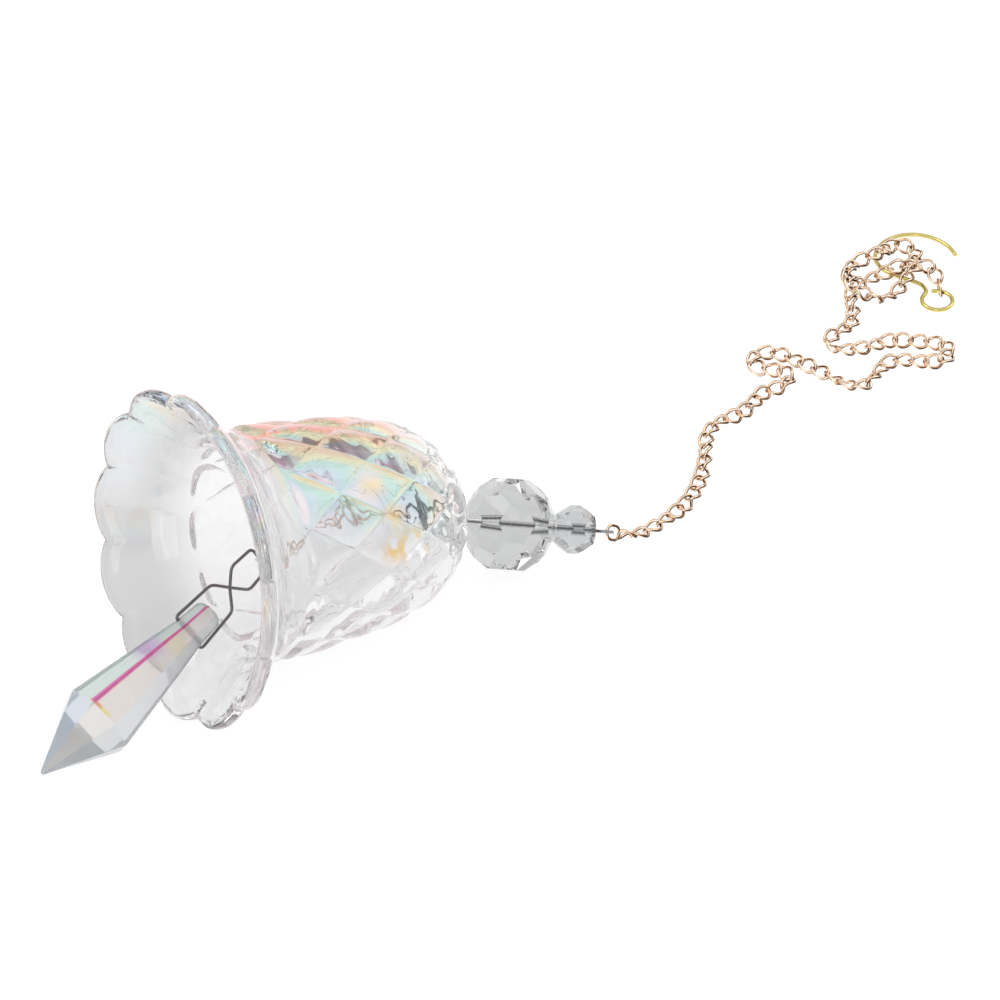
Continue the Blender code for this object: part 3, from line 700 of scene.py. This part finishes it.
def build_wire(mat, bar):
    """The wire from its inner loop through the dome and both beads to its outer loop."""
    lean_in = MOUTH + AXIS * HOLE_INSIDE - HOLE_LEAN * HOLE_LEAN_REACH
    lean_out = MOUTH + AXIS * HOLE_OUTSIDE + HOLE_LEAN * HOLE_LEAN_REACH
    shank = (lean_out - lean_in).normalized()
    low_loop = lean_in - shank * (INNER_LOOP_R + INNER_NECK)
    reach = (bar - low_loop).normalized()
    normal = reach.cross(shank).normalized()
    side = shank.cross(normal).normalized()
    path = wire_loop(low_loop, shank, side, INNER_LOOP_R, *INNER_LOOP_TURN)
    path.append(low_loop + shank * (INNER_LOOP_R + 1.0) + side * 0.05)
    path.append(lean_in)
    path.append(lean_in.lerp(lean_out, 0.5))
    path.append(lean_out)
    pole = LARGE_BEAD - BEAD_AXIS * LARGE_BEAD_HALF
    bend = smooth_route([lean_in, lean_out, pole - BEAD_AXIS * 0.2, pole + BEAD_AXIS * 4.0], 5)
    path.extend(bend[6:11])
    end_loop = SMALL_BEAD + BEAD_AXIS * (SMALL_BEAD_HALF + OUTER_LOOP_GAP + OUTER_LOOP_R + WIRE_R)
    flat = (OUTER_LOOP_FACE - BEAD_AXIS * OUTER_LOOP_FACE.dot(BEAD_AXIS)).normalized()
    out_side = BEAD_AXIS.cross(flat).normalized()
    path.append(pole + BEAD_AXIS * 1.5)
    path.append(LARGE_BEAD)
    path.append(SMALL_BEAD)
    path.append(end_loop - BEAD_AXIS * (OUTER_LOOP_R + OUTER_NECK))
    path.extend(wire_loop(end_loop, BEAD_AXIS * -1.0, out_side, OUTER_LOOP_R, *OUTER_LOOP_TURN))
    return add_tube("wire", mat, path, WIRE_R, 16), low_loop, normal, end_loop, flat


def hook_height(y):
    """The hook lies at a slight slope on the table."""
    return RING_CENTRE.z - HOOK_FALL * (y - RING_CENTRE.y)


def build_hook(mat):
    """The hook, the place where the last link hangs on its ring, and the ring's direction there."""
    ring = []
    for k in range(RING_STEPS + 1):
        turn = math.radians(RING_START - RING_SWEEP * k / RING_STEPS)
        x = RING_CENTRE.x + RING_R * math.cos(turn)
        y = RING_CENTRE.y + RING_R * math.sin(turn)
        ring.append(Vector((x, y, hook_height(y))))
    arc = [Vector((x, y, hook_height(y))) for x, y in HOOK_ROUTE]
    path = ring + smooth_route([ring[-1]] + arc, 8)[1:]
    y = RING_CENTRE.y + RING_R * math.sin(LINK_ON_RING)
    touch = Vector((RING_CENTRE.x + RING_R * math.cos(LINK_ON_RING), y, hook_height(y)))
    tangent = Vector((-math.sin(LINK_ON_RING), math.cos(LINK_ON_RING),
                      -HOOK_FALL * math.cos(LINK_ON_RING))).normalized()
    return add_tube("hanging_hook", mat, path, HOOK_WIRE_R, 20), touch, tangent


def build_chain(mat, start, first_across, end, last_across):
    """Every link of the hanging chain, as one mesh, and the line that the links follow."""
    route = smooth_route([Vector(p) for p in CHAIN_ROUTE], 12)
    centres = even_points([start] + route[6:-2] + [end], CHAIN_LINKS)
    points = []
    faces = []
    ends = (flat_link(start, FIRST_LINK_DIRECTION, first_across, 14),
            flat_link(end, LAST_LINK_DIRECTION, last_across, 14))
    for path in ends:
        made, walls = tube(path, LINK_R, 12, True, len(points))
        points.extend(made)
        faces.extend(walls)
    for i in range(1, CHAIN_LINKS - 1):
        along = (centres[i + 1] - centres[i - 1]).normalized()
        roll = ROLL_MEAN
        for height, step, start_at in (ROLL_SLOW, ROLL_FAST):
            roll += height * math.sin(step * i + start_at)
        roll = math.radians(roll)
        flat = Vector((0, 0, 1)).cross(along).normalized()
        normal = along.cross(flat).normalized()
        normal = normal * math.cos(roll) + flat * math.sin(roll)
        path = curb_link(centres[i], along, normal, 28)
        made, walls = tube(path, CURB_R, 12, True, len(points))
        points.extend(made)
        faces.extend(walls)
    return add_mesh("chain_links", mat, points, faces, True), centres


# ---------------------------------------------------------------- materials

def nodes_of(mat):
    mat.use_nodes = True
    return mat.node_tree, mat.node_tree.nodes["Principled BSDF"]


def position(tree):
    return tree.nodes.new("ShaderNodeTexCoord").outputs["Object"]


def position_from(tree, origin):
    """The place on the piece, counted from a point given in millimetres."""
    gap = tree.nodes.new("ShaderNodeVectorMath")
    gap.operation = "SUBTRACT"
    gap.inputs[1].default_value = row(origin)
    tree.links.new(position(tree), gap.inputs[0])
    return gap.outputs["Vector"]


def dot_with(tree, vector, direction):
    dot = tree.nodes.new("ShaderNodeVectorMath")
    dot.operation = "DOT_PRODUCT"
    dot.inputs[1].default_value = direction
    tree.links.new(vector, dot.inputs[0])
    return dot.outputs["Value"]


def mapped(tree, value, start, end, to_start=0.0, to_end=1.0, smooth=False):
    """The value mapped from one range to another, and held at its ends."""
    span = tree.nodes.new("ShaderNodeMapRange")
    if smooth:
        span.interpolation_type = "SMOOTHSTEP"
    span.inputs["From Min"].default_value = start
    span.inputs["From Max"].default_value = end
    span.inputs["To Min"].default_value = to_start
    span.inputs["To Max"].default_value = to_end
    tree.links.new(value, span.inputs["Value"])
    return span.outputs["Result"]


def noise_of(tree, scale, detail, distortion=0.0):
    noise = tree.nodes.new("ShaderNodeTexNoise")
    noise.inputs["Scale"].default_value = scale
    noise.inputs["Detail"].default_value = detail
    noise.inputs["Distortion"].default_value = distortion
    tree.links.new(position(tree), noise.inputs["Vector"])
    return noise.outputs["Fac"]


def times(tree, a, b):
    node = tree.nodes.new("ShaderNodeMath")
    node.operation = "MULTIPLY"
    tree.links.new(a, node.inputs[0])
    tree.links.new(b, node.inputs[1])
    return node.outputs["Value"]


def blend_colour(tree, factor, a, b):
    """From a to b; each is a colour or the output of a node."""
    mix = tree.nodes.new("ShaderNodeMix")
    mix.data_type = "RGBA"
    tree.links.new(factor, mix.inputs["Factor"])
    for socket, value in (("A", a), ("B", b)):
        if isinstance(value, tuple):
            mix.inputs[socket].default_value = value
        else:
            tree.links.new(value, mix.inputs[socket])
    return mix.outputs["Result"]


def ramp_node(tree, stops, value):
    ramp = tree.nodes.new("ShaderNodeValToRGB")
    ramp.color_ramp.interpolation = "EASE"
    while len(ramp.color_ramp.elements) < len(stops):
        ramp.color_ramp.elements.new(0.5)
    for element, (at, colour) in zip(ramp.color_ramp.elements, stops):
        element.position = at
        element.color = colour
    tree.links.new(value, ramp.inputs["Fac"])
    return ramp.outputs["Color"]


def facing(tree, direction, low, high):
    """0 to 1 as the surface turns towards one fixed direction of the piece."""
    normal = tree.nodes.new("ShaderNodeTexCoord").outputs["Normal"]
    return mapped(tree, dot_with(tree, normal, direction), low, high)


def near_spot(tree, centre, radius):
    """1 at one place of the piece, fading to 0 at the radius. Millimetres."""
    gap = tree.nodes.new("ShaderNodeVectorMath")
    gap.operation = "DISTANCE"
    gap.inputs[1].default_value = row(Vector(centre))
    tree.links.new(position(tree), gap.inputs[0])
    return mapped(tree, gap.outputs["Value"], radius * MM, 0.0, smooth=True)


def along_line(tree, origin, direction, low, high):
    """0 to 1 along a direction of the piece. Millimetres."""
    reach = dot_with(tree, position_from(tree, origin), direction)
    return mapped(tree, reach, low * MM, high * MM, smooth=True)


def around_axis(tree, origin, across, third, turn_deg, width_deg):
    """A narrow stripe along the piece at one angle around its axis."""
    gap = position_from(tree, origin)
    cos = math.cos(math.radians(turn_deg))
    sin = math.sin(math.radians(turn_deg))
    angle = tree.nodes.new("ShaderNodeMath")
    angle.operation = "ARCTAN2"
    for socket, direction in ((0, across * -sin + third * cos), (1, across * cos + third * sin)):
        tree.links.new(dot_with(tree, gap, direction), angle.inputs[socket])
    size = tree.nodes.new("ShaderNodeMath")
    size.operation = "ABSOLUTE"
    tree.links.new(angle.outputs["Value"], size.inputs[0])
    return mapped(tree, size.outputs["Value"], math.radians(width_deg),
                  math.radians(width_deg * 0.35), smooth=True)


def metal(name, colour, dark, roughness, scale):
    """Plated wire: two close tones in soft patches, with a little wear in the roughness."""
    mat = bpy.data.materials.new(name)
    tree, shader = nodes_of(mat)
    patchy = noise_of(tree, scale, 4.0)
    wear = mapped(tree, patchy, 0.0, 1.0, roughness * 0.75, roughness * 1.4)
    tree.links.new(blend_colour(tree, patchy, dark, colour), shader.inputs["Base Color"])
    tree.links.new(wear, shader.inputs["Roughness"])
    shader.inputs["Metallic"].default_value = 1.0
    return mat


def shade_side(mat):
    """Plated links: cream where they catch the light, brown-black along their shaded side."""
    tree, shader = nodes_of(mat)
    plate = shader.inputs["Base Color"].links[0].from_socket
    mix = tree.nodes.new("ShaderNodeMix")
    mix.data_type = "RGBA"
    mix.blend_type = "MULTIPLY"
    mix.inputs["Factor"].default_value = 1.0
    tree.links.new(plate, mix.inputs["A"])
    tree.links.new(ramp_node(tree, LINK_LIGHT_AND_SHADE, facing(tree, LINK_SHADE, -1.0, 1.0)), mix.inputs["B"])
    tree.links.new(mix.outputs["Result"], shader.inputs["Base Color"])


def glass(name, roughness):
    mat = bpy.data.materials.new(name)
    tree, shader = nodes_of(mat)
    shader.inputs["Transmission Weight"].default_value = 1.0
    shader.inputs["IOR"].default_value = 1.5
    shader.inputs["Roughness"].default_value = roughness
    return mat, tree, shader


def film(tree, shader, low, high, scale, mask):
    """A coating whose thickness drifts over the surface, in nanometres."""
    drift = mapped(tree, noise_of(tree, scale, 1.5), 0.3, 0.7, low, high)
    tree.links.new(times(tree, drift, mask), shader.inputs["Thin Film Thickness"])
    shader.inputs["Thin Film IOR"].default_value = 1.8


def flare_shade(tree):
    """Painted shade: the back wall of the flared mouth is made darker than the rest."""
    return times(tree, along_line(tree, MOUTH, -NEAR, *SHADE_BACK),
                 along_line(tree, MOUTH, AXIS, *SHADE_FLARE))


def patches(tree):
    """Crisp-edged irregular patches of the coating."""
    return mapped(tree, noise_of(tree, 190.0, 1.0, 0.6), 0.40, 0.48, smooth=True)


def plain_crystal():
    mat, tree, shader = glass("crystal_inside", 0.02)
    # painted shade darkens the back wall of the flare
    tree.links.new(blend_colour(tree, flare_shade(tree), CLEAR, BACK_WALL_SHADE), shader.inputs["Base Color"])
    return mat


def crystal_material():
    """Coated glass: painted reflection of the coating, in colour bands along the top of the body and pearl
    colours on the upper lip; painted shade on the back wall of the flare; patches of gold.
    """
    mat, tree, shader = glass("crystal_glass", 0.02)
    rim = times(tree, along_line(tree, MOUTH, VIEW_UP, *FILM_UPPER),
                along_line(tree, MOUTH, AXIS, *FILM_RIM))
    film(tree, shader, *FILM_NM, 28.0, rim)
    # painted shade darkens the back wall of the flare
    colour = blend_colour(tree, flare_shade(tree), CLEAR, BACK_WALL_SHADE)

    towards = -VIEW_DIRECTION
    outward = (AXIS * VIEW_DIRECTION.dot(AXIS) - VIEW_DIRECTION).normalized()
    # painted reflection of the coating, only on the upper near side of the body
    upper = along_line(tree, MOUTH, VIEW_UP, *BANDS_UPPER)
    before_dome = along_line(tree, MOUTH, AXIS, *BANDS_DOME)
    behind_flare = along_line(tree, MOUTH, AXIS, *BANDS_FLARE)
    near_half = along_line(tree, MOUTH, outward, *BANDS_NEAR)
    reflection_area = times(tree, times(tree, times(tree, upper, before_dome), behind_flare), near_half)
    bands = ramp_node(tree, BODY_REFLECTION_BANDS, facing(tree, towards, *COATING_SPAN))
    colour = blend_colour(tree, reflection_area, colour, bands)

    # painted reflection: pearl colours on the upper lip
    lip = times(tree, along_line(tree, MOUTH, AXIS, *LIP_RIM),
                along_line(tree, MOUTH, VIEW_UP, *LIP_UPPER))
    pearl = ramp_node(tree, LIP_PEARL_REFLECTION, facing(tree, towards, *COATING_SPAN))
    colour = blend_colour(tree, lip, colour, pearl)

    gold = ramp_node(tree, GOLD, facing(tree, VIEW_UP, *GOLD_SPAN))
    for spot, size in GOLD_SPOTS:
        patch = times(tree, near_spot(tree, spot, size), patches(tree))
        colour = blend_colour(tree, patch, colour, gold)
    tree.links.new(colour, shader.inputs["Base Color"])
    return mat


def clear_stone(name, tint):
    mat, tree, shader = glass(name, 0.0)
    dusky = tuple(v * 0.97 for v in tint[:3]) + (1.0,)
    colour = blend_colour(tree, noise_of(tree, 60.0, 2.0), dusky, tint)
    tree.links.new(colour, shader.inputs["Base Color"])
    return mat


def prism_material():
    """Half-coated glass: pastel facets with painted light and shade, each facet's tint set by how it faces
    the view's up direction and greyer where it faces down; a magenta stripe down one edge, warm colours at
    its end.
    """
    mat, tree, shader = glass("prism_glass", 0.0)
    shader.inputs["Transmission Weight"].default_value = PRISM_CLEARNESS
    along, pin, third = prism_axes()

    def down(low, high):
        """0 to 1 between two distances from the shoulder, towards the tip."""
        return along_line(tree, PRISM_HOLE, -along, PRISM_SHOULDER_AT + low, PRISM_SHOULDER_AT + high)

    # painted light and shade: each facet's colour is set by how it faces the view's up direction
    body = ramp_node(tree, PRISM_BODY_FACET_LIGHT, facing(tree, VIEW_UP, *PRISM_SPAN))
    point = ramp_node(tree, PRISM_POINT_FACET_LIGHT, facing(tree, VIEW_UP, *PRISM_SPAN))
    colour = blend_colour(tree, down(-0.1, 0.1), body, point)
    for turn_deg, at, out, size, tint in PRISM_SPOTS:
        facet = math.radians(PRISM_STRIPE + turn_deg)
        spot = PRISM_HOLE - along * at + (pin * math.cos(facet) + third * math.sin(facet)) * out
        colour = blend_colour(tree, near_spot(tree, spot, size), colour, tint)
    end = times(tree, down(-1.0, -0.6), down(0.1, -0.2))
    for turn_deg, width, tint in STRIPE_END:
        reach = around_axis(tree, PRISM_HOLE, pin, third, PRISM_STRIPE + turn_deg, width)
        colour = blend_colour(tree, times(tree, end, reach), colour, tint)
    stripe = around_axis(tree, PRISM_HOLE, pin, third, PRISM_STRIPE, STRIPE_WIDTH)
    colour = blend_colour(tree, times(tree, stripe, down(0.0, -0.6)), colour, STRIPE_COLOUR)
    tree.links.new(colour, shader.inputs["Base Color"])
    return mat


crystal = crystal_material()
inside = plain_crystal()
bead_glass = clear_stone("bead_glass", (0.56, 0.565, 0.57, 1.0))
small_glass = clear_stone("small_bead_glass", (0.55, 0.56, 0.57, 1.0))
prism_glass = prism_material()
steel = metal("wire_steel", (0.42, 0.42, 0.43, 1.0), (0.28, 0.28, 0.29, 1.0), 0.25, 300.0)
clip_steel = metal("clip_steel", (0.26, 0.26, 0.26, 1.0), (0.15, 0.15, 0.15, 1.0), 0.3, 300.0)
rose_gold = metal("rose_gold", (1.0, 0.95, 0.90, 1.0), (0.96, 0.86, 0.76, 1.0), 0.14, 400.0)
shade_side(rose_gold)
pale_gold = metal("pale_gold", (0.98, 0.94, 0.88, 1.0), (0.92, 0.86, 0.78, 1.0), 0.2, 400.0)
brass = metal("hook_brass", (0.86, 0.74, 0.30, 1.0), (0.66, 0.54, 0.16, 1.0), 0.2, 250.0)


# ---------------------------------------------------------------- pieces

def place(item, body, slot, *nodes):
    """Hide the CAD nodes that the piece stands for and attach it to the body it moves with; the slot is not
    used.
    """
    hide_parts(*nodes)
    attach(item, body)


place(build_bell(crystal, inside), "bell", "crystal_glass", "bell_glass")
large = build_bead("bead_large", bead_glass, LARGE_BEAD, LARGE_BEAD_R, LARGE_BEAD_HALF,
                   LARGE_BEAD_ROWS, LARGE_BEAD_EDGE)
place(large, "large_bead", "bead_glass", "large_bead")
small = build_bead("bead_small", small_glass, SMALL_BEAD, SMALL_BEAD_R, SMALL_BEAD_HALF,
                   SMALL_BEAD_ROWS, SMALL_BEAD_EDGE)
place(small, "small_bead", "small_bead_glass", "small_bead")
place(build_prism(prism_glass), "prism_drop", "prism_glass", "prism_drop")
clip, clip_bar, clip_pin = build_clip(clip_steel)
place(clip, "prism_clip", "clip_steel", "prism_clip")
wire, inner, inner_normal, outer, outer_normal = build_wire(steel, clip_bar)
place(wire, "suspension_wire", "wire_steel", "suspension_wire")
to_clip = (clip_bar - inner).normalized()
links = build_clapper_chain(pale_gold, inner + to_clip * INNER_LOOP_R, WIRE_R, clip_bar, CLIP_WIRE_R,
                            inner_normal, to_clip.cross(clip_pin))
for i, link in enumerate(links):
    place(link, "clapper_chain", "rose_gold", "clapper_link_%02d" % (i + 1))
hook, contact, ring_tangent = build_hook(brass)
place(hook, "hook", "hook_brass", "hook")
pull = (FIRST_LINK_DIRECTION - outer_normal * FIRST_LINK_DIRECTION.dot(outer_normal)).normalized()
loop_end = outer + pull * OUTER_LOOP_R
first_centre = loop_end + FIRST_LINK_DIRECTION * (LINK_LENGTH / 2 - 2 * LINK_R - WIRE_R - LOOP_PLAY)
last_centre = contact + LAST_LINK_DIRECTION * (LINK_LENGTH / 2 - 2 * LINK_R - HOOK_WIRE_R - LOOP_PLAY)
chain, line = build_chain(rose_gold, first_centre, outer_normal,
                          last_centre, LAST_LINK_DIRECTION.cross(ring_tangent))
place(chain, "chain", "rose_gold", "chain", "chain_first_link", "chain_last_link")


# ---------------------------------------------------------------- room

def area_light(name, at, aim, width, height, power):
    lamp = bpy.data.lights.new(name, "AREA")
    lamp.shape = "RECTANGLE"
    lamp.size = width
    lamp.size_y = height
    lamp.energy = power
    item = bpy.data.objects.new(name, lamp)
    item.location = at
    item.rotation_euler = (Vector(aim) - Vector(at)).to_track_quat("-Z", "Y").to_euler()
    bpy.context.collection.objects.link(item)


world = bpy.data.worlds.new("room")
bpy.context.scene.world = world
world.use_nodes = True
tree = world.node_tree
sky = tree.nodes["Background"]
coords = tree.nodes.new("ShaderNodeTexCoord")
split = tree.nodes.new("ShaderNodeSeparateXYZ")
tree.links.new(coords.outputs["Generated"], split.inputs["Vector"])
tree.links.new(ramp_node(tree, SKY, split.outputs["Z"]), sky.inputs["Color"])
sky.inputs["Strength"].default_value = 1.0

floor_mesh = bpy.data.meshes.new("floor")
floor_mesh.from_pydata([(FLOOR_LOW, FLOOR_LOW, FLOOR_Z), (FLOOR_HIGH, FLOOR_LOW, FLOOR_Z),
                        (FLOOR_HIGH, FLOOR_HIGH, FLOOR_Z), (FLOOR_LOW, FLOOR_HIGH, FLOOR_Z)],
                       [], [(0, 1, 2, 3)])
floor = bpy.data.objects.new("floor", floor_mesh)
bpy.context.collection.objects.link(floor)
floor_mat = bpy.data.materials.new("floor_white")
tree, shader = nodes_of(floor_mat)
shader.inputs["Base Color"].default_value = (FLOOR_GREY, FLOOR_GREY, FLOOR_GREY, 1.0)
shader.inputs["Roughness"].default_value = 1.0
shader.inputs["Specular IOR Level"].default_value = 0.0
shader.inputs["Emission Color"].default_value = (1.0, 1.0, 1.0, 1.0)
shader.inputs["Emission Strength"].default_value = FLOOR_GLOW
floor_mesh.materials.append(floor_mat)

for light in LIGHTS:
    area_light(*light)

camera_data = bpy.data.cameras.new("photo_view")
camera_data.lens = CAMERA_LENS
camera_data.sensor_width = 36.0
camera_data.clip_start = 0.05
camera_data.clip_end = 20.0
camera = bpy.data.objects.new("photo_view", camera_data)
camera_turn = Matrix((VIEW_RIGHT, VIEW_UP, -VIEW_DIRECTION)).transposed().to_4x4()
camera.matrix_world = Matrix.Translation(CAMERA_AT) @ camera_turn
bpy.context.collection.objects.link(camera)
bpy.context.scene.camera = camera
bpy.context.scene.view_settings.view_transform = "Standard"
bpy.context.scene.cycles.max_bounces = MAX_BOUNCES
bpy.context.scene.cycles.glossy_bounces = GLOSSY_BOUNCES
bpy.context.scene.cycles.transmission_bounces = MAX_BOUNCES
